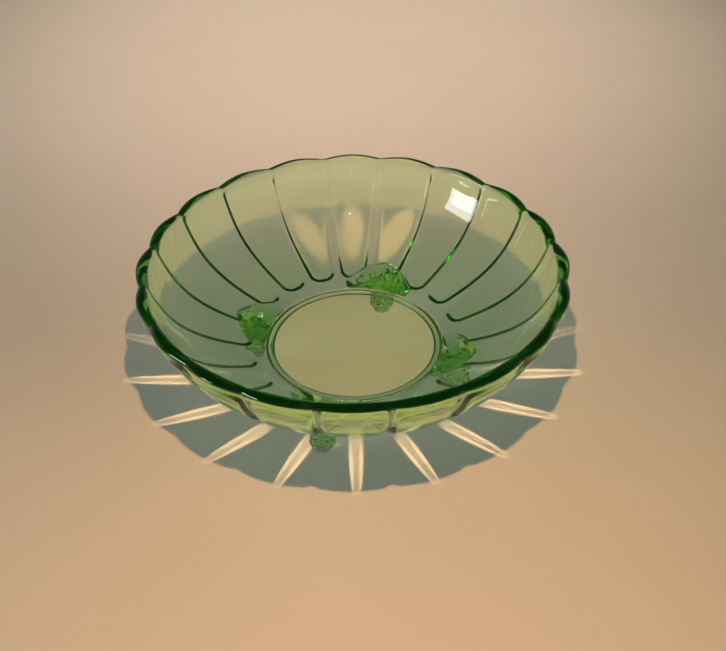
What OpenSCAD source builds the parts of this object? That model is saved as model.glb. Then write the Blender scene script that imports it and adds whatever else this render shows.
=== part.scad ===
// Pressed glass bowl with twenty convex flutes, a scalloped rim and four short feet.
// Millimetres, +Z up. The origin is on the table under the middle of the bowl.
// The flutes are centred on the X and Y axes, and so are the feet.

/* [Bowl] */
// Radius of the rim at the notches between two flutes
notch_r = 100; // [80:1:130]
// Depth of the inside, from the rim's notches down to the floor
bowl_depth = 47; // [35:0.5:60]
// Number of flutes round the wall, a multiple of four so that feet meet flutes
flute_count = 20; // [12:4:28]

/* [Wall] */
// Glass thickness at the top of the wall
wall_t = 4.1; // [3:0.1:6]
// Lean of the wall at the rim, in degrees from upright
wall_lean = 17; // [5:1:30]
// Rise of the wall where the flutes end, in degrees from level
low_slope = 17; // [5:1:25]
// Rise of the inside where it leaves the floor, in degrees from level
floor_slope = 19; // [5:1:25]
// How fully the wall bellies out at the top, as a share of its drop
top_fullness = 0.52; // [0.3:0.01:0.6]
// How far the flat lower part runs out, as a share of the wall's run
low_fullness = 0.65; // [0.4:0.01:0.75]
// How much further a flute bulges on the wall than at the rim
flute_out = 1.2; // [0:0.1:3]

/* [Rim] */
// How far a flute stands out beyond the notches at the rim
lobe_out = 2; // [0.5:0.1:4]
// How far a flute's top stands above the notches
lobe_up = 2.4; // [0:0.1:5]
// How far the inner edge stands above the notches at a flute
inner_up = 1.5; // [0:0.1:3]
// How far the inner edge dips at a notch
inner_dip = 0.9; // [0:0.1:2]
// Height of the rim band below the notches
band_h = 5; // [3:0.5:8]
// Height of the rounded top edge
edge_h = 2; // [1:0.1:3]

/* [Base] */
// Radius of the flat floor inside
floor_r = 40.6; // [30:0.2:50]
// Thickness of the glass under the floor
floor_t = 4.5; // [3:0.1:8]
// Width of the ring under the base
ring_w = 4; // [3:0.5:8]
// How far the ring stands down below the base
ring_h = 1.5; // [0.5:0.1:4]
// How far the ring's edge stands out beyond the floor
ring_out = 3.4; // [2:0.1:6]
// Width of the plain band between the ring and the flutes
plain_w = 6; // [3:0.5:12]
// Drop of the plain band towards the ring
plain_drop = 2.2; // [1:0.1:3]
// How much further out a flute's end is at its sides than at its middle
flute_round = 3.5; // [0:0.5:6]
// Run of the step from a flute's end to the plain band
step_run = 1; // [0.5:0.1:2]

/* [Feet] */
// Height of the base above the table
foot_h = 18.5; // [12:0.5:30]
// Radius of a foot's flat pad
pad_r = 4; // [3:0.5:6]
// Distance from the ring to the middle of a pad
pad_out = 7; // [5:0.5:10]
// Width of the rounded edge round a pad
pad_edge = 1; // [0.5:0.1:2]
// How sharply a foot narrows below the bowl: 1 is a straight taper
foot_waist = 1.7; // [1:0.1:3]

/* [Hidden] */

flute_steps = 6;                       // columns of the mesh over one flute
wall_rings = 11;                       // rings of the mesh down the outside
inner_rings = 9;                       // rings of the mesh down the inside
edge_steps = 6;                        // steps of the mesh over the rounded edge
foot_steps = 5;                        // steps of the mesh down a foot
foot_rings = 4;                        // rings of the wall's mesh that a foot covers
columns = flute_count * flute_steps;
half_flute = 180 / flute_count;

floor_z = foot_h + floor_t;            // top of the floor
rim_z = floor_z + bowl_depth;          // the rim's notches
ring_r = floor_r + ring_out;           // outside of the base ring
flute_end_r = ring_r + plain_w;        // where the middle of a flute ends
plain_z = foot_h + plain_drop;         // underside of the plain band at the ring
flute_end_z = plain_z + plain_w * tan(low_slope);
disc_gap_r = floor_r / cos(180 / columns);  // a flat-sided hole that clears the round disc

function lerp(a, b, t) = a + (b - a) * t;
function bezier(p, t) =
    pow(1 - t, 3) * p[0] + 3 * t * pow(1 - t, 2) * p[1] + 3 * t * t * (1 - t) * p[2] + pow(t, 3) * p[3];
function slope_of(p, t) =
    3 * pow(1 - t, 2) * (p[1] - p[0]) + 6 * t * (1 - t) * (p[2] - p[1]) + 3 * t * t * (p[3] - p[2]);

// Four control points of a wall's curve in [radius, height], from its top to its low end.
function wall_curve(top, low, slope) = [
    top,
    top - (top[1] - low[1]) * top_fullness * [sin(wall_lean), cos(wall_lean)],
    low + (top[0] - low[0]) * low_fullness * [cos(slope), sin(slope)],
    low];

outer_curve = wall_curve([notch_r, rim_z], [flute_end_r, flute_end_z], low_slope);
inner_curve = wall_curve([notch_r - wall_t, rim_z], [floor_r, floor_z], floor_slope);

// Where a curve has come down by the band's height, as a share of its length.
function band_share(c) = band_h / (3 * (c[0][1] - c[1][1]));

// Place of a column across its flute: -1 and 1 at the notches, 0 in the middle.
function across(i) = 2 * (i % flute_steps) / flute_steps - 1;
function column_angle(i) = (i / flute_steps) * 2 * half_flute - half_flute;
function arch(u) = 1 - u * u;

// How far a flute stands out beyond a circle through its notches, at radius r.
function flute_bulge(r, u, extra) =
    r * (cos(half_flute) / cos(u * half_flute) - 1)
    + arch(u) * (r / notch_r * (lobe_out + notch_r * (1 - cos(half_flute))) + extra);

function outward(c, t) = let (d = slope_of(c, t)) [-d[1], d[0]] / norm(d);

// Share of the curve where a flute ends, further up at its sides.
function end_share(u) = 1 - flute_round * u * u / (3 * (outer_curve[2][0] - outer_curve[3][0]));

function outer_point(t, u) =
    let (p = bezier(outer_curve, t), fade = sin(180 * t))
    p + outward(outer_curve, t) * flute_bulge(p[0], u, flute_out * fade);

// The wall's section at column i: down the outside, in under the base and up the inside.
function wall_section(i) =
    let (u = across(i), t0 = band_share(outer_curve), t1 = band_share(inner_curve), te = end_share(u))
    concat(
        [for (j = [0 : wall_rings - 1]) outer_point(lerp(t0, te, j / (wall_rings - 1)), u)],
        [bezier(outer_curve, te) - step_run * [1, tan(low_slope)],
         [ring_r, plain_z],
         [ring_r, foot_h],
         [disc_gap_r, foot_h],
         [disc_gap_r, floor_z]],
        [for (j = [1 : inner_rings - 1]) bezier(inner_curve, lerp(1, t1, j / (inner_rings - 1)))]);

// The rim's section at column i: up the outside, over the rounded edge and down the inside.
function rim_section(i) =
    let (u = across(i),
         seam_out = outer_point(band_share(outer_curve), u),
         seam_in = bezier(inner_curve, band_share(inner_curve)),
         out = [notch_r + flute_bulge(notch_r, u, 0), rim_z + lobe_up * cos(90 * u) - edge_h],
         in = [notch_r - wall_t, rim_z + inner_up - inner_dip * u * u - edge_h])
    concat(
        [seam_out],
        [for (j = [0 : edge_steps])
            let (a = 180 * j / edge_steps)
            lerp(out, in, (1 - cos(a)) / 2) + [0, edge_h * sin(a)]],
        [seam_in]);

// A closed ring of glass from the sections of all its columns.
module pressed_ring(sections) {
    n = len(sections);
    m = len(sections[0]);
    points = [for (i = [0 : n - 1]) for (p = sections[i])
        [p[0] * cos(column_angle(i)), p[0] * sin(column_angle(i)), p[1]]];
    faces = [for (i = [0 : n - 1]) for (j = [0 : m - 1])
        let (a = i * m + j, b = i * m + (j + 1) % m,
             c = ((i + 1) % n) * m + (j + 1) % m, d = ((i + 1) % n) * m + j)
        each [[a, b, c], [a, c, d]]];
    polyhedron(points, faces);
}

module fluted_wall() {
    color("darkseagreen") pressed_ring([for (i = [0 : columns - 1]) wall_section(i)]);
}

module scalloped_rim() {
    color("seagreen") pressed_ring([for (i = [0 : columns - 1]) rim_section(i)]);
}

module base_disc() {
    color("palegreen") translate([0, 0, foot_h]) cylinder(h = floor_t, r = floor_r, $fn = 120);
}

module base_ring() {
    chamfer = ring_h / 3;
    color("mediumseagreen") rotate_extrude($fn = 120) polygon([
        [ring_r - ring_w, foot_h],
        [ring_r - ring_w, foot_h - ring_h + chamfer],
        [ring_r - ring_w + chamfer, foot_h - ring_h],
        [ring_r - chamfer, foot_h - ring_h],
        [ring_r, foot_h - ring_h + chamfer],
        [ring_r, foot_h]]);
}

// The part of the bowl's underside that a foot covers, one flute wide: ring k at column c.
foot_columns = flute_steps + 1;
function root_point(c, k) = let (p = wall_section(c)[wall_rings + 1 - k])
    [p[0] * cos(column_angle(c)), p[0] * sin(column_angle(c)), p[1]];

// The root's outline as [column, ring] pairs, once round.
root_outline = concat(
    [for (c = [0 : foot_columns - 1]) [c, 0]],
    [for (k = [1 : foot_rings - 1]) [foot_columns - 1, k]],
    [for (c = [foot_columns - 2 : -1 : 0]) [c, foot_rings - 1]],
    [for (k = [foot_rings - 2 : -1 : 1]) [0, k]]);

// A foot tapers from its root under the bowl to a small flat pad.
module foot(angle) {
    pad_x = ring_r + pad_out;
    n = len(root_outline);
    grid = foot_columns * foot_rings;
    outline = [for (q = root_outline) root_point(q[0], q[1])];
    aim = [for (p = outline) atan2(p[1], p[0] - pad_x)];
    taper = [for (s = [1 : foot_steps]) for (i = [0 : n - 1])
        let (t = s / foot_steps, p = outline[i], q = [pad_x + pad_r * cos(aim[i]), pad_r * sin(aim[i])],
             xy = lerp([p[0], p[1]], q, 1 - pow(1 - t, foot_waist)))
        [xy[0], xy[1], lerp(p[2], pad_edge, t)]];
    pad = [for (i = [0 : n - 1])
        [pad_x + (pad_r - pad_edge) * cos(aim[i]), (pad_r - pad_edge) * sin(aim[i]), 0]];
    root = [for (k = [0 : foot_rings - 1]) for (c = [0 : foot_columns - 1]) root_point(c, k)];
    root_faces = [for (k = [0 : foot_rings - 2]) for (c = [0 : foot_columns - 2])
        let (a = (k + 1) * foot_columns + c, b = k * foot_columns + c)
        each [[a, b + 1, b], [a, a + 1, b + 1]]];
    // Loop 0 is the root's outline, the next ones run down the foot, and the last is the pad.
    function at(s, i) = s == 0
        ? root_outline[i % n][1] * foot_columns + root_outline[i % n][0]
        : grid + (s - 1) * n + i % n;
    side_faces = [for (s = [0 : foot_steps]) for (i = [0 : n - 1])
        each [[at(s, i), at(s, i + 1), at(s + 1, i + 1)], [at(s, i), at(s + 1, i + 1), at(s + 1, i)]]];
    pad_face = [for (i = [0 : n - 1]) at(foot_steps + 1, i)];
    color("limegreen") rotate(angle)
        polyhedron(concat(root, taper, pad), concat(root_faces, side_faces, [pad_face]));
}

module foot_right() { foot(0); }
module foot_back() { foot(90); }
module foot_left() { foot(180); }
module foot_front() { foot(270); }

fluted_wall();
scalloped_rim();
base_disc();
base_ring();
foot_right();
foot_back();
foot_left();
foot_front();
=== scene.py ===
import bpy
import math
from mathutils import Matrix, Vector, noise


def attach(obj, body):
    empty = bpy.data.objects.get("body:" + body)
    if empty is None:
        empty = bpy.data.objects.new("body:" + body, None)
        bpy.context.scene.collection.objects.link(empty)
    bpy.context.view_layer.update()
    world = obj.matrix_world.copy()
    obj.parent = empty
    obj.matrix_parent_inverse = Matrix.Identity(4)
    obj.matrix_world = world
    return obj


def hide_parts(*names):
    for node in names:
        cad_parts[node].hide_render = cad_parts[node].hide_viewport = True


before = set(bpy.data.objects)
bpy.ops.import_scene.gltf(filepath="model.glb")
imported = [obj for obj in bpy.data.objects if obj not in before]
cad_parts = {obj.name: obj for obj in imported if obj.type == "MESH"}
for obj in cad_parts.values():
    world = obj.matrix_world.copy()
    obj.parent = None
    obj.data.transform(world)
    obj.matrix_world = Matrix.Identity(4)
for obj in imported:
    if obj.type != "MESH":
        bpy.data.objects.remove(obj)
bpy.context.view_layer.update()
mm = 0.001


def hexColour(code):
    # sRGB hex to the linear colour that the sockets take
    def linear(v):
        return v / 12.92 if v <= 0.04045 else ((v + 0.055) / 1.055) ** 2.4
    return tuple(linear(int(code[i:i + 2], 16) / 255) for i in (1, 3, 5)) + (1.0,)


def newMaterial(name):
    material = bpy.data.materials.new(name)
    material.use_nodes = True
    material.node_tree.nodes.clear()
    return material, material.node_tree


def addNode(tree, kind, settings=None, inputs=None, links=None):
    # settings are the node's own options, inputs are socket values, links are sockets to take from
    node = tree.nodes.new(kind)
    for key, value in (settings or {}).items():
        setattr(node, key, value)
    for key, value in (inputs or {}).items():
        node.inputs[key].default_value = value
    for key, source in (links or {}).items():
        tree.links.new(source, node.inputs[key])
    return node


def deselectAll():
    if bpy.context.object and bpy.context.object.mode != "OBJECT":
        bpy.ops.object.mode_set(mode="OBJECT")
    bpy.ops.object.select_all(action="DESELECT")


def lerp(a, b, t):
    return a + (b - a) * t


def smoothStep(t):
    t = min(max(t, 0.0), 1.0)
    return t * t * (3 - 2 * t)


view = {
    "turn": 18.3,        # degrees that the camera stands round from the front foot
    "elevation": 35.4,   # degrees above the rim
    "distance": 479.6,   # mm from the middle of the rim
    "aimDown": 3.54,     # degrees that the camera looks below the rim's middle
    "aimSide": -0.51,    # degrees to the side
    "roll": -0.97,       # degrees
    "lens": 50.7,        # mm on a 36 mm sensor
}

light = {
    "turn": 18.3,                       # the lamps are set out as seen from the camera, in mm
    "keyPlace": (8, -209, 404),         # a small warm lamp in front of and above the bowl
    "keyAim": (8, -209, 0),
    "keySpread": 160,
    "keySize": 9,
    "keyPower": 4.75,
    "keyColour": "#ffcb96",
    "glintSize": 7,                     # its glints in the glass, with little light of its own
    "glintPower": 0.3,
    "windowPlace": (-1130, -410, 330),  # a low window at the left
    "windowAim": (0, 0, 30),
    "windowSize": 400,
    "windowPower": 5.4,
    "windowColour": "#eef4ff",
    "backPlace": (0, 450, 900),         # a soft spot lamp over the back of the table
    "backAim": (0, 450, 0),
    "backSpread": 56,
    "backPower": 25.0,
    "backColour": "#ffe6d6",
    "farPlace": (0, 1700, 1100),        # four more, one over each far side of the table
    "farAim": (0, 1500, 0),
    "farSpread": 80,
    "farPower": 45.0,
    "softSize": 40,                     # of the back and far lamps
    "fillStrength": 0.36,               # even cool light from overhead
    "fillColour": "#b4f4f4",
    "wallColour": "#a09a92",            # the room
    "ceilingColour": "#323c34",
    "wallTop": 0.12,
    "ceilingFrom": 0.5,
}

# narrow lamps that stand in for the light that clear glass would gather on the table. Their places
# are given here and don't follow from the bowl's shape
streaks = {
    "power": 4.6,              # as strong on the table as the key lamp
    "powerAt": 460,            # mm from the key lamp
    "rayColour": "#ffe0b0",
    "floorAt": 16.0,           # light through the floor, mm behind the bowl's middle
    "floorReach": 44.0,
    "floorShare": 0.75,
    "floorSoft": 0.08,
    "shadowAt": 44.0,          # the middle of the whole shadow
    "backStep": 18,            # degrees between the streaks behind the bowl
    "backShares": (1.2, 1.5, 2.1),
    "backFrom": 42,
    "backTo": 128,
    "backWide": 17,
    "rays": 5,                 # rays to each side of the front one
    "nearStep": 12,            # degrees between the rays' near ends, and how that grows
    "nearGrow": 0.6,
    "farStep": 17.3,           # and between their far ends
    "rayFrom": 86,
    "rayTo": 128,
    "rayWide": 7.4,
    "lastShare": 0.35,         # the outermost rays are faint
    "bodyShare": 0.8,          # a ray is a soft body, a shorter wider one and two bright edges
    "bodySoft": 0.5,
    "rootShare": 0.4,
    "rootSoft": 0.6,
    "rootLong": 0.7,
    "rootWide": 1.3,
    "edgeShare": 1.3,
    "edgeSoft": 0.8,
    "edgeWide": 0.3,
    "edgeAt": 0.414,           # of the ray's width
}


def addCamera():
    turn = Matrix.Rotation(math.radians(view["turn"]), 4, "Z")
    up = math.radians(view["elevation"])
    away = Vector((0, -math.cos(up), math.sin(up))) * view["distance"] * mm
    place = turn @ (away + Vector((0, 0, bowl["notchZ"] * mm)))
    tilt = math.radians(90 - view["elevation"] - view["aimDown"])
    facing = (turn @ Matrix.Rotation(tilt, 4, "X")
              @ Matrix.Rotation(math.radians(view["aimSide"]), 4, "Y")
              @ Matrix.Rotation(math.radians(view["roll"]), 4, "Z"))
    data = bpy.data.cameras.new("camera")
    data.lens = view["lens"]
    data.clip_start = 0.01
    camera = bpy.data.objects.new("camera", data)
    camera.matrix_world = Matrix.Translation(place) @ facing
    bpy.context.scene.collection.objects.link(camera)
    bpy.context.scene.camera = camera
    print("camera done")


def addLamp(name, place, aim, size, power, colour, spread=None):
    # a soft-edged spot lamp, or a square area lamp where no spread is given
    data = bpy.data.lights.new(name, "SPOT" if spread else "AREA")
    if spread:
        data.spot_size = math.radians(spread)
        data.spot_blend = 1.0
        data.shadow_soft_size = size / 2 * mm
    else:
        data.shape = "SQUARE"
        data.size = size * mm
    data.energy = power
    data.color = hexColour(colour)[:3]
    lamp = bpy.data.objects.new(name, data)
    turn = Matrix.Rotation(math.radians(light["turn"]), 4, "Z")
    where = turn @ (Vector(place) * mm)
    facing = (where - turn @ (Vector(aim) * mm)).to_track_quat("Z", "Y").to_matrix().to_4x4()
    lamp.matrix_world = Matrix.Translation(where) @ facing
    bpy.context.scene.collection.objects.link(lamp)
    return lamp


def addBeam(name, start, end, wide, share, soft, colour, only):
    # a narrow beam from the key lamp's place that lies on the table from start to end, wide mm across
    data = bpy.data.lights.new(name, "SPOT")
    turn = Matrix.Rotation(math.radians(light["turn"]), 4, "Z")
    middle = (Vector(start) + Vector(end)) / 2
    away = Vector(light["keyPlace"]) - Vector((middle.x, middle.y, 0))
    back = away.normalized()
    line = Vector((end[0] - start[0], end[1] - start[1], 0)) / 2
    line -= line.dot(back) * back
    across = line.cross(back).normalized()
    reach = (wide / 2 / away.length, line.length / away.length)
    most = max(reach)
    data.spot_size = 2 * math.atan(most)
    data.spot_blend = soft
    data.shadow_soft_size = 0
    data.energy = share * streaks["power"] * (away.length / streaks["powerAt"]) ** 2
    data.color = hexColour(colour)[:3]
    data.use_shadow = False
    lamp = bpy.data.objects.new(name, data)
    facing = Matrix((across, line.normalized(), back)).transposed().to_4x4()
    stretch = Matrix.Diagonal((reach[0] / most, reach[1] / most, 1, 1))
    lamp.matrix_world = turn @ Matrix.Translation(Vector(light["keyPlace"]) * mm) @ facing @ stretch
    bpy.context.scene.collection.objects.link(lamp)
    lamp.light_linking.receiver_collection = only


def onShadow(degrees, reach):
    # a place on the table from the middle of the shadow, 0 at the back
    angle = math.radians(degrees)
    return Vector((reach * math.sin(angle), streaks["shadowAt"] + reach * math.cos(angle)))


def addRay(k, only):
    near = 180 + math.copysign(streaks["nearStep"] * abs(k) + streaks["nearGrow"] * k * k, k)
    start = onShadow(near, streaks["rayFrom"])
    end = onShadow(180 + streaks["farStep"] * k, streaks["rayTo"])
    wide, colour = streaks["rayWide"], streaks["rayColour"]
    across = (end - start).normalized().orthogonal() * wide * streaks["edgeAt"]
    share = streaks["lastShare"] if abs(k) == streaks["rays"] else 1.0
    addBeam("frontRay", start, end, wide,
            streaks["bodyShare"] * share, streaks["bodySoft"], colour, only)
    addBeam("frontRay", start, start.lerp(end, streaks["rootLong"]), wide * streaks["rootWide"],
            streaks["rootShare"] * share, streaks["rootSoft"], colour, only)
    for side in (-1, 1):
        addBeam("frontRayEdge", start + across * side, end + across * side / 2, wide * streaks["edgeWide"],
                streaks["edgeShare"] * share, streaks["edgeSoft"], colour, only)


def addStreaks(only):
    floor, reach = streaks["floorAt"], streaks["floorReach"]
    addBeam("floorBeam", (0, floor - reach), (0, floor + reach), 2 * reach, streaks["floorShare"],
            streaks["floorSoft"], light["keyColour"], only)
    for k, share in zip((-1, 0, 1), streaks["backShares"]):
        side = streaks["backStep"] * k
        addBeam("backStreak", onShadow(side, streaks["backFrom"]), onShadow(side, streaks["backTo"]),
                streaks["backWide"], share, 1.0, light["keyColour"], only)
    for k in range(-streaks["rays"], streaks["rays"] + 1):
        addRay(k, only)


def addRoom():
    # pale walls round a dark ceiling, so that what the glass turns upwards is deep green
    world = bpy.data.worlds.new("room")
    world.use_nodes = True
    tree = world.node_tree
    tree.nodes.clear()
    coords = addNode(tree, "ShaderNodeTexCoord")
    parts = addNode(tree, "ShaderNodeSeparateXYZ", links={"Vector": coords.outputs["Generated"]})
    height = addNode(tree, "ShaderNodeMapRange", {"interpolation_type": "SMOOTHSTEP"},
                     {"From Min": light["wallTop"], "From Max": light["ceilingFrom"]},
                     {"Value": parts.outputs["Z"]})
    tone = addNode(tree, "ShaderNodeMix", {"data_type": "RGBA"},
                   {6: hexColour(light["wallColour"]), 7: hexColour(light["ceilingColour"])},
                   {0: height.outputs["Result"]})
    background = addNode(tree, "ShaderNodeBackground", links={"Color": tone.outputs[2]})
    addNode(tree, "ShaderNodeOutputWorld", links={"Surface": background.outputs[0]})
    bpy.context.scene.world = world


def addLights(table):
    # only the window, the glints and the room light the glass: the other lamps are the table's
    key = addLamp("keyLamp", light["keyPlace"], light["keyAim"], light["keySize"], light["keyPower"],
                  light["keyColour"], light["keySpread"])
    addLamp("glintLamp", light["keyPlace"], light["keyAim"], light["glintSize"], light["glintPower"],
            light["keyColour"], light["keySpread"])
    window = addLamp("windowLamp", light["windowPlace"], light["windowAim"], light["windowSize"],
                     light["windowPower"], light["windowColour"])
    back = addLamp("backLamp", light["backPlace"], light["backAim"], light["softSize"],
                   light["backPower"], light["backColour"], light["backSpread"])
    fill = bpy.data.objects.new("fillLamp", bpy.data.lights.new("fillLamp", "SUN"))
    fill.data.energy = light["fillStrength"]
    fill.data.color = hexColour(light["fillColour"])[:3]
    bpy.context.scene.collection.objects.link(fill)
    far = []
    for turn in (0, 90, 180, 270):
        side = Matrix.Rotation(math.radians(turn), 4, "Z")
        place, aim = side @ Vector(light["farPlace"]), side @ Vector(light["farAim"])
        far.append(addLamp("farLamp", place, aim, light["softSize"], light["farPower"],
                           light["backColour"], light["farSpread"]))
    for lamp in (window, back, fill, *far):
        lamp.data.use_shadow = False
    tableOnly = bpy.data.collections.new("tableOnly")
    tableOnly.objects.link(table)
    for lamp in (key, back, fill, *far):
        lamp.light_linking.receiver_collection = tableOnly
    addStreaks(tableOnly)
    addRoom()
    print("lamps done")


card = {
    "size": 6.0,           # m
    "tones": ("#d4c3b0", "#dacab8"),
    "mottle": 9.0,         # to the metre
    "mottleDetail": 3.0,
    "roughness": 0.75,
    "specular": 0.3,
}


def tablePaper():
    # matt card: a warm pinkish beige with faint broad mottling
    material, tree = newMaterial("mattCard")
    coords = addNode(tree, "ShaderNodeTexCoord")
    mottle = addNode(tree, "ShaderNodeTexNoise",
                     inputs={"Scale": card["mottle"], "Detail": card["mottleDetail"]},
                     links={"Vector": coords.outputs["Object"]})
    tone = addNode(tree, "ShaderNodeMix", {"data_type": "RGBA"},
                   {6: hexColour(card["tones"][0]), 7: hexColour(card["tones"][1])},
                   {0: mottle.outputs["Fac"]})
    shader = addNode(tree, "ShaderNodeBsdfPrincipled",
                     inputs={"Roughness": card["roughness"], "Specular IOR Level": card["specular"]},
                     links={"Base Color": tone.outputs[2]})
    addNode(tree, "ShaderNodeOutputMaterial", links={"Surface": shader.outputs[0]})
    return material


def addTable():
    deselectAll()
    bpy.ops.mesh.primitive_plane_add(size=card["size"], location=(0, 0, 0))
    table = bpy.context.object
    table.name = "table"
    table.data.materials.append(tablePaper())
    print("table done")
    return table


bowl = {
    "notchR": 100.0,     # mm, the rim at the notches
    "floorR": 40.6,      # the flat floor
    "floorZ": 23.0,
    "baseZ": 18.5,       # the underside of the floor
    "depth": 47.0,
    "wall": 4.1,
    "lean": 17.0,        # degrees from upright at the rim
    "lowSlope": 17.0,    # degrees from level where the flutes end
    "floorSlope": 19.0,
    "topFull": 0.52,     # how late the outside turns in, and how early it levels out
    "lowFull": 0.65,
    "innerTopFull": 0.75,
    "innerLowFull": 0.6,
    "flutes": 20,
    "lobeOut": 2.0,      # a flute beyond the notches, at the rim
    "lobeUp": 2.4,
    "innerUp": 1.5,
    "innerDip": 0.9,
    "edge": 2.0,         # height of the rounded rim edge
    "edgeFull": 0.95,
    "belly": 0.3,        # extra bulge of a flute half way down
    "liftReach": 20.0,   # how far down the rim's waves fade out
    "grooveSoft": 0.03,  # roundness of the grooves at the rim and lower down
    "lowSoft": 0.06,
    "midArch": 0.32,     # how much of the rim's arch the wall's cushions keep
    "archFrom": 3.0,     # mm down from the rim where lobes begin to turn into cushions
    "archOver": 9.0,     # and over how many mm
    "archEnd": 9.0,      # the last mm of the wall, where the arch levels out
    "cushion": 1.4,      # how far a cushion stands up from the land round it
    "cushionOver": 5.0,  # how soon it does so
    "endCushion": 1.65,  # its height at the lower end
    "endFrom": 0.6,      # where that begins, as a share of the way down, and over how much of it
    "endOver": 0.35,
    "flank": 3.0,        # width of the even slope up to it
    "flankRound": 0.2,   # the rounded share of that slope at its foot and at its shoulder
    "land": 0.25,        # half the plain strip between two cushions, near the rim
    "lowLand": 1.1,      # and low down
    "landFrom": 0.3,     # where it begins to widen, as a share of the way down
    "landOver": 0.6,
    "corner": 6.0,       # radius of a cushion's lower corners
    "cornerFull": 0.97,  # just under 1, so that no ring of the mesh turns straight down
    "seatOut": 66.0,     # outside this radius no foot touches the wall
    "ringR": 44.0,
    "ringW": 4.0,
    "ringH": 1.5,
    "plainW": 6.0,
    "plainDrop": 2.2,
    "columns": 32,       # mesh columns to a flute
    "crowd": 0.42,       # how far the columns are drawn towards the grooves
    "insideRings": 24,
    "edgeRings": 14,
    "outsideRings": 74,
    "ringCrowd": 1.6,    # how far the outside's rings are drawn towards the cushions' ends
}
bowl["notchZ"] = bowl["floorZ"] + bowl["depth"]
halfFlute = math.pi / bowl["flutes"]
lowRise = math.tan(math.radians(bowl["lowSlope"]))
outerEnd = (bowl["ringR"] + bowl["plainW"],
            bowl["baseZ"] + bowl["plainDrop"] + bowl["plainW"] * lowRise)


def wallCurve(top, low, slope, topFull, lowFull):
    lean = math.radians(bowl["lean"])
    rise = math.radians(slope)
    drop = (top[1] - low[1]) * topFull
    run = (top[0] - low[0]) * lowFull
    return (Vector(top), Vector(top) - drop * Vector((math.sin(lean), math.cos(lean))),
            Vector(low) + run * Vector((math.cos(rise), math.sin(rise))), Vector(low))


def along(curve, t):
    a, b, c, d = curve
    return (1 - t) ** 3 * a + 3 * t * (1 - t) ** 2 * b + 3 * t * t * (1 - t) * c + t ** 3 * d


def heading(curve, t):
    a, b, c, d = curve
    step = (1 - t) ** 2 * (b - a) + 2 * t * (1 - t) * (c - b) + t * t * (d - c)
    return step.normalized()


outerCurve = wallCurve((bowl["notchR"], bowl["notchZ"]), outerEnd, bowl["lowSlope"],
                       bowl["topFull"], bowl["lowFull"])
innerCurve = wallCurve((bowl["notchR"] - bowl["wall"], bowl["notchZ"]),
                       (bowl["floorR"], bowl["floorZ"]), bowl["floorSlope"],
                       bowl["innerTopFull"], bowl["innerLowFull"])


def lengthTable(curve, steps=400):
    lengths = [0.0]
    last = along(curve, 0)
    for k in range(1, steps + 1):
        here = along(curve, k / steps)
        lengths.append(lengths[-1] + (here - last).length)
        last = here
    return lengths


def shareAt(lengths, s):
    # the curve's t where it is s mm long
    low, high = 0, len(lengths) - 1
    while high - low > 1:
        mid = (low + high) // 2
        if lengths[mid] > s:
            high = mid
        else:
            low = mid
    return (low + (s - lengths[low]) / (lengths[high] - lengths[low])) / (len(lengths) - 1)


outerLengths = lengthTable(outerCurve)
innerLengths = lengthTable(innerCurve)
outerFull = outerLengths[-1]
innerFull = innerLengths[-1]


def lobeArch(u, soft):
    # the arch of a lobe, softened over its last part so that a groove is a tight curve and not a crease
    w = 1 - abs(u)
    w = math.sqrt(w * w + soft * soft) - soft
    return 1 - (1 - w) ** 2


def fluteBulge(r, u, extra, soft, share):
    chord = math.cos(halfFlute) / math.cos(u * halfFlute) - 1
    return r * chord + lobeArch(u, soft) * (share * r / bowl["notchR"] * (
        bowl["lobeOut"] + bowl["notchR"] * (1 - math.cos(halfFlute))) + extra)


def insideCorner(side, end, radius):
    # distance in from the outline of a shape with two straight sides and a round corner
    a, b = max(radius - side, 0), max(radius - end, 0)
    if a > 0 and b > 0:
        return radius - math.hypot(a, b)
    return min(side, end)


def fluteEnd(u):
    # how far down the wall a cushion reaches at its side or middle
    halfWidth = outerEnd[0] * math.sin(halfFlute)
    straight = halfWidth - bowl["lowLand"] - bowl["corner"]
    inset = min(max(abs(u) * halfWidth - straight, 0) / bowl["corner"], 1)
    return outerFull - bowl["corner"] * (1 - math.sqrt(1 - bowl["cornerFull"] * inset * inset))


def flankRise(t):
    # an even slope from 0 to 1 with a rounded foot and shoulder
    e = bowl["flankRound"]
    if t < e:
        return t * t / (2 * e * (1 - e))
    if t > 1 - e:
        return 1 - (1 - t) ** 2 / (2 * e * (1 - e))
    return (t - e / 2) / (1 - e)


def flutePush(s, u):
    # how far the outside stands out from the line of the notches, s mm down from the rim:
    # full lobes at the rim, then raised cushions with a plain land round each
    down = s / outerFull
    r = along(outerCurve, shareAt(outerLengths, s)).x
    land = lerp(bowl["land"], bowl["lowLand"], smoothStep((down - bowl["landFrom"]) / bowl["landOver"]))
    side = (1 - abs(u)) * r * math.sin(halfFlute) - land
    end = max(outerFull - s, 0)
    edge = max(insideCorner(side, end, bowl["corner"]), 0)
    height = lerp(bowl["cushion"], bowl["endCushion"],
                  smoothStep((down - bowl["endFrom"]) / bowl["endOver"]))
    below = s - bowl["archFrom"]
    cushion = height * flankRise(min(edge / bowl["flank"], 1)) * smoothStep(below / bowl["cushionOver"])
    mid = smoothStep(below / bowl["archOver"])
    fade = math.sin(math.pi * min(down, 1))
    ending = 1 - (1 - min(end / bowl["archEnd"], 1)) ** 2
    arch = fluteBulge(r, u, bowl["belly"] * fade, lerp(bowl["grooveSoft"], bowl["lowSoft"], mid),
                      lerp(1.0, bowl["midArch"], mid))
    return cushion + ending * arch


def liftFade(s):
    return max(1 - s / bowl["liftReach"], 0) ** 2


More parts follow.
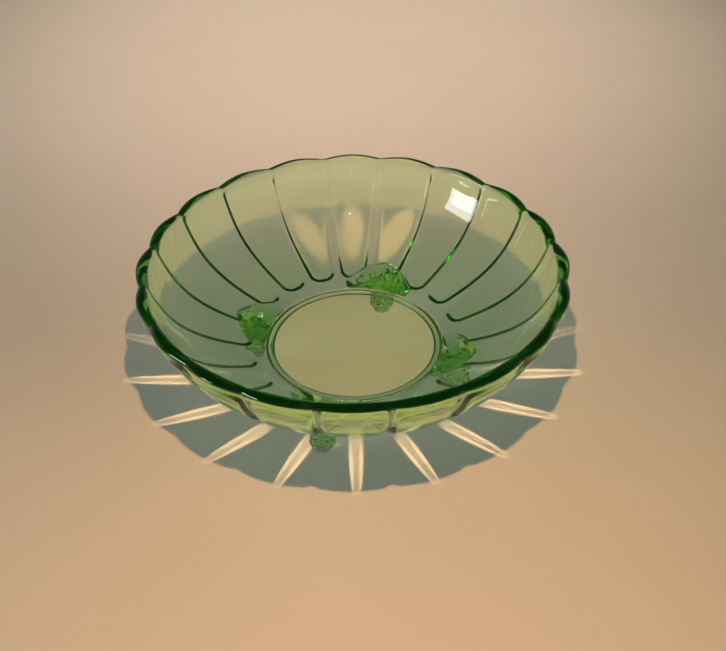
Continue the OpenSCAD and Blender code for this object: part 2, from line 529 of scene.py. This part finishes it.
def outsidePoint(s, u, lobe=2):
    # lobe counts from the nearest foot, and 2 is clear of it
    t = shareAt(outerLengths, min(s, outerFull))
    p = along(outerCurve, t)
    way = heading(outerCurve, t)
    out = Vector((-way.y, way.x))
    lift = bowl["lobeUp"] * math.cos(math.pi / 2 * u) * liftFade(s)
    push = flutePush(s, u)
    if p.x < bowl["seatOut"] and abs(lobe) < 2:
        # a foot's seat is smooth, and the flutes stop at its edge
        angle = (2 * lobe + u) * halfFlute - math.radians(foot["turn"])
        push *= 1 - seatShare(p.x * math.cos(angle), p.x * math.sin(angle))
    return p + out * push + Vector((0, lift))


def insidePoint(s, u):
    p = along(innerCurve, shareAt(innerLengths, min(s, innerFull)))
    lift = (bowl["innerUp"] - bowl["innerDip"] * u * u) * liftFade(s)
    return p + Vector((0, lift))


def edgePoint(a, u):
    # over the rounded rim edge, from 0 outside to 1 inside
    start = outsidePoint(bowl["edge"], u)
    stop = insidePoint(bowl["edge"], u)
    turn = math.pi * a
    crown = Vector((0, bowl["edge"] * bowl["edgeFull"] * math.sin(turn)))
    return start.lerp(stop, (1 - math.cos(turn)) / 2) + crown


def ringOutline():
    # the plain band, the ring and the underside of the floor, from the band inwards
    r, w, z, h = bowl["ringR"], bowl["ringW"], bowl["baseZ"], bowl["ringH"]
    plainZ = z + bowl["plainDrop"]
    points = [(r + 4.0, plainZ + 1.06), (r + 2.0, plainZ + 0.53), (r + 0.7, plainZ + 0.12)]
    points += [(r + 0.2, plainZ - 0.15), (r + 0.02, plainZ - 0.6), (r, z + 0.9)]
    for k in range(0, 13):
        turn = math.pi * k / 12
        side = math.copysign(abs(math.cos(turn)) ** 0.8, math.cos(turn))
        points.append((r - w / 2 + w / 2 * side, z + 0.2 - (h + 0.2) * math.sin(turn)))
    points += [(r - w - 0.4, z), (r - w - 2, z), (30, z), (16, z), (5, z), (0, z)]
    return points


def bowlStations():
    # one rule for each ring of the mesh, from the middle of the floor over the rim to that of the base
    rules = [lambda u, lobe, r=r: Vector((r, bowl["floorZ"])) for r in (0, 5, 16, 30, 38, 40)]
    insideRings, edgeRings, outsideRings = bowl["insideRings"], bowl["edgeRings"], bowl["outsideRings"]
    for k in range(insideRings):
        s = innerFull - (innerFull - bowl["edge"]) * (k + 0.3) / insideRings
        rules.append(lambda u, lobe, s=s: insidePoint(s, u))
    for k in range(edgeRings + 1):
        rules.append(lambda u, lobe, a=1 - k / edgeRings: edgePoint(a, u))
    for k in range(1, outsideRings + 1):
        share = (1 - k / outsideRings) ** bowl["ringCrowd"]
        rules.append(lambda u, lobe, q=share: outsidePoint(
            fluteEnd(u) - q * (fluteEnd(u) - bowl["edge"]), u, lobe))
    for point in ringOutline():
        rules.append(lambda u, lobe, p=point: Vector(p))
    return rules


def fluteColumn(angle):
    # the nearest flute and the place across it, -1 to 1, with the columns drawn towards the grooves
    lobe = round(angle / (2 * halfFlute))
    u = angle / halfFlute - 2 * lobe
    u = u * (1 + bowl["crowd"] * (1 - u * u))
    return lobe, min(max(u, -1.0), 1.0)


def spunDisc(name, rings, columns):
    # a flat disc with its rings 1 mm apart, whose rings are then taken to their places in a section
    deselectAll()
    bpy.ops.mesh.primitive_plane_add(size=mm, location=(0, 0, 0))
    piece = bpy.context.object
    piece.name = name
    bpy.ops.object.mode_set(mode="EDIT")
    bpy.ops.mesh.select_mode(type="VERT")
    bpy.ops.mesh.select_all(action="SELECT")
    bpy.ops.mesh.merge(type="CENTER")
    for _ in range(rings - 1):
        bpy.ops.mesh.extrude_region_move(TRANSFORM_OT_translate={"value": (mm, 0, 0)})
    bpy.ops.mesh.select_all(action="SELECT")
    bpy.ops.mesh.spin(steps=columns, angle=2 * math.pi, center=(0, 0, 0), axis=(0, 0, 1))
    bpy.ops.mesh.select_all(action="SELECT")
    bpy.ops.mesh.remove_doubles(threshold=1e-6)
    bpy.ops.object.mode_set(mode="OBJECT")
    return piece


def closeUp(piece, material):
    bpy.ops.object.mode_set(mode="EDIT")
    bpy.ops.mesh.select_all(action="SELECT")
    bpy.ops.mesh.remove_doubles(threshold=1e-6)
    bpy.ops.mesh.normals_make_consistent(inside=False)
    bpy.ops.object.mode_set(mode="OBJECT")
    piece.data.materials.append(material)


def modelBowl(material):
    rules = bowlStations()
    piece = spunDisc("pressed_bowl", len(rules), bowl["flutes"] * bowl["columns"])
    known = {}
    for vertex in piece.data.vertices:
        ring = round(vertex.co.to_2d().length / mm)
        lobe, u = fluteColumn(math.atan2(vertex.co.y, vertex.co.x))
        nearFoot = (lobe + 2) % 5 - 2
        key = (ring, round(u, 5), nearFoot)
        if key not in known:
            known[key] = rules[ring](u, nearFoot)
        r, z = known[key]
        angle = (2 * lobe + u) * halfFlute
        vertex.co = (r * mm * math.cos(angle), r * mm * math.sin(angle), z * mm)
    closeUp(piece, material)
    bpy.ops.object.shade_smooth()
    print("bowl", len(piece.data.vertices), "vertices")
    return piece


foot = {
    "rootAt": 46.5,      # mm from the bowl's middle to the middle of the root
    "rootOut": 15.5,     # the root's reach outwards
    "rootSide": 18.0,    # and to each side
    "rootBow": 1.4,      # 2 is an oval, 1 a triangle
    "rootIn": 44.3,      # the root stops at the ring
    "seatSoft": 1.2,     # width of the edge where the flutes stop at a foot
    "sink": 0.12,        # how far the root is sunk into the bowl, so that the glass reads as one
    "turn": 1.6,         # degrees that each foot sits round from the middle of its flute
    "padAt": 53.5,
    "ledgeR": 5.9,       # the leg where it meets the tier over the pad
    "ledgeZ": 5.5,
    "flare": 1.7,        # how late the leg widens towards the root
    "reeds": 10,
    "reedDepth": 0.3,
    "reedFade": 0.7,     # less than 1 keeps the reeds deep nearly to their ends
    "legLean": 1.2,      # how late the leg leans in from the pad towards the root
    "lump": 0.5,         # mm, the uneven surface that the mould leaves
    "lumpSize": 2.7,
    "lumpShift": 9,      # so that no two feet have the same lumps
    "lumpFade": 3,       # in rings of the mesh
    "legHigh": 14.0,
    "columns": 96,
    "rootRings": 12,     # rings of the mesh over the root, down the leg and on the tier's side
    "legRings": 24,
    "tierRings": 4,
    # the tier over the pad and the pad, as radius and height
    "tierAndPad": ((6.1, 5.2), (6.35, 4.9), (6.4, 4.5), (6.3, 4.1), (5.9, 3.8), (5.0, 3.6), (4.1, 3.3),
                   (3.7, 2.9), (3.75, 2.4), (4.3, 2.1), (4.6, 1.7), (4.6, 0.9), (4.3, 0.3), (3.6, 0),
                   (0, 0)),
}


def rootReach(turn):
    # from the middle of the root to its outline: half an oval, cut off along the ring
    c, s = math.cos(turn), math.sin(turn)
    bow = foot["rootBow"]
    oval = (abs(c / foot["rootOut"]) ** bow + abs(s / foot["rootSide"]) ** bow) ** (-1 / bow)
    room = (foot["rootAt"] * c) ** 2 - foot["rootAt"] ** 2 + foot["rootIn"] ** 2
    if c < 0 and room > 0:
        cut = -foot["rootAt"] * c - math.sqrt(room)
        return (oval ** -6 + cut ** -6) ** (-1 / 6)
    return oval


def seatShare(out, side):
    # 1 on a foot's seat, 0 away from it
    x = out - foot["rootAt"]
    return smoothStep((rootReach(math.atan2(side, x)) - math.hypot(x, side)) / foot["seatSoft"])


def seatHeight(out, side):
    # the smooth seat under the bowl: the band's slope, then the line of the grooves
    r = math.hypot(out, side)
    if r < outerEnd[0]:
        return outerEnd[1] - (outerEnd[0] - r) * lowRise
    low, high = 0.5, 1.0
    for _ in range(24):
        mid = (low + high) / 2
        if along(outerCurve, mid).x > r:
            low = mid
        else:
            high = mid
    return along(outerCurve, low).y


def footStations():
    # rules for the rings of a foot, from the middle of its root over the leg to the middle of the pad
    rules = []

    def root(turn, share):
        reach = rootReach(turn) * share
        out, side = foot["rootAt"] + reach * math.cos(turn), reach * math.sin(turn)
        return out, side, seatHeight(out, side) + foot["sink"]

    def leg(turn, h):
        top = root(turn, 1)
        fade = math.sin(math.pi * min(h * 1.15, 1)) ** foot["reedFade"]
        reed = foot["reedDepth"] * (math.cos(foot["reeds"] * turn) - 1) * fade
        reach = lerp(foot["ledgeR"], rootReach(turn), h ** foot["flare"]) + reed
        middle = lerp(foot["padAt"], foot["rootAt"], h ** foot["legLean"])
        return middle + reach * math.cos(turn), reach * math.sin(turn), lerp(foot["ledgeZ"], top[2], h)

    def pad(turn, r, z):
        return foot["padAt"] + r * math.cos(turn), r * math.sin(turn), z

    for k in range(foot["rootRings"]):
        rules.append(lambda turn, q=k / foot["rootRings"]: root(turn, q))
    for k in range(foot["legRings"] + 1):
        rules.append(lambda turn, h=1 - k / foot["legRings"]: leg(turn, h))
    for r, z in foot["tierAndPad"]:
        rules.append(lambda turn, r=r, z=z: pad(turn, r, z))
    return rules


def modelFoot(name, angle, material):
    rules = footStations()
    piece = spunDisc(name, len(rules), foot["columns"])
    place = Matrix.Rotation(angle + math.radians(foot["turn"]), 3, "Z")
    first = foot["rootRings"]
    last = first + foot["legRings"] + foot["tierRings"]
    for vertex in piece.data.vertices:
        ring = round(vertex.co.to_2d().length / mm)
        out, side, z = rules[ring](math.atan2(vertex.co.y, vertex.co.x))
        if first < ring < last:
            spot = Vector((out, side, z)) / foot["lumpSize"] + Vector((angle * foot["lumpShift"], 0, 0))
            fade = min((ring - first) / foot["lumpFade"], 1, (last - ring) / foot["lumpFade"])
            here = foot["lump"] * noise.noise(spot) * fade
            rise = min(max(z - foot["ledgeZ"], 0) / foot["legHigh"], 1)
            away = Vector((out - lerp(foot["padAt"], foot["rootAt"], rise), side))
            out, side = Vector((out, side)) + away.normalized() * here
        vertex.co = place @ Vector((out, side, z)) * mm
    closeUp(piece, material)
    bpy.ops.object.shade_smooth_by_angle(angle=math.radians(50))
    return piece


glass = {
    "ior": 1.52,
    "bowlColour": (0.50, 0.925, 0.25),
    "bowlDensity": 80.0,
    "footColour": (0.47, 0.87, 0.15),
    "footDensity": 95.0,
    "paintedGlowColour": "#4cff30",
    "paintedGlowStrength": 0.0025,        # painted glow: faint green light that the glass gives off itself, so that the thickest parts aren't black
    "ripple": 60.0,        # to the metre
    "rippleDetail": 2.0,
    "rippleStrength": 0.05,
    "rippleHeight": 0.0006,
}


def pressedGlass(name, colour, density):
    # soda-lime glass coloured green in the melt and pressed in a mould: clear and fire-polished,
    # pale where it is thin and bottle green along it, with the slow ripple of a pressed surface
    material, tree = newMaterial(name)
    coords = addNode(tree, "ShaderNodeTexCoord")
    ripple = addNode(tree, "ShaderNodeTexNoise",
                     inputs={"Scale": glass["ripple"], "Detail": glass["rippleDetail"]},
                     links={"Vector": coords.outputs["Object"]})
    bump = addNode(tree, "ShaderNodeBump",
                   inputs={"Strength": glass["rippleStrength"], "Distance": glass["rippleHeight"]},
                   links={"Height": ripple.outputs["Fac"]})
    # its emission is a painted glow: faint green light from the glass itself, not from any lamp
    shader = addNode(tree, "ShaderNodeBsdfPrincipled",
                     inputs={"Base Color": (1, 1, 1, 1), "Transmission Weight": 1.0,
                             "IOR": glass["ior"], "Roughness": 0.0,
                             "Emission Color": hexColour(glass["paintedGlowColour"]),
                             "Emission Strength": glass["paintedGlowStrength"]},
                     links={"Normal": bump.outputs["Normal"]})
    inside = addNode(tree, "ShaderNodeVolumeAbsorption",
                     inputs={"Color": colour + (1,), "Density": density})
    addNode(tree, "ShaderNodeOutputMaterial",
            links={"Surface": shader.outputs[0], "Volume": inside.outputs[0]})
    return material


bpy.context.scene.view_settings.view_transform = "Standard"
addCamera()
addLights(addTable())
bowlGlass = pressedGlass("pressedGreenGlass", glass["bowlColour"], glass["bowlDensity"])
footGlass = pressedGlass("pressedGreenFootGlass", glass["footColour"], glass["footDensity"])
bowlPiece = modelBowl(bowlGlass)
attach(bowlPiece, "root")
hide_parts("fluted_wall", "scalloped_rim", "base_disc", "base_ring")

for footName, quarter in (("foot_right", 0), ("foot_back", 1), ("foot_left", 2), ("foot_front", 3)):
    footPiece = modelFoot("glass_" + footName, quarter * math.pi / 2, footGlass)
    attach(footPiece, "root")
    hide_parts(footName)
print("feet done")
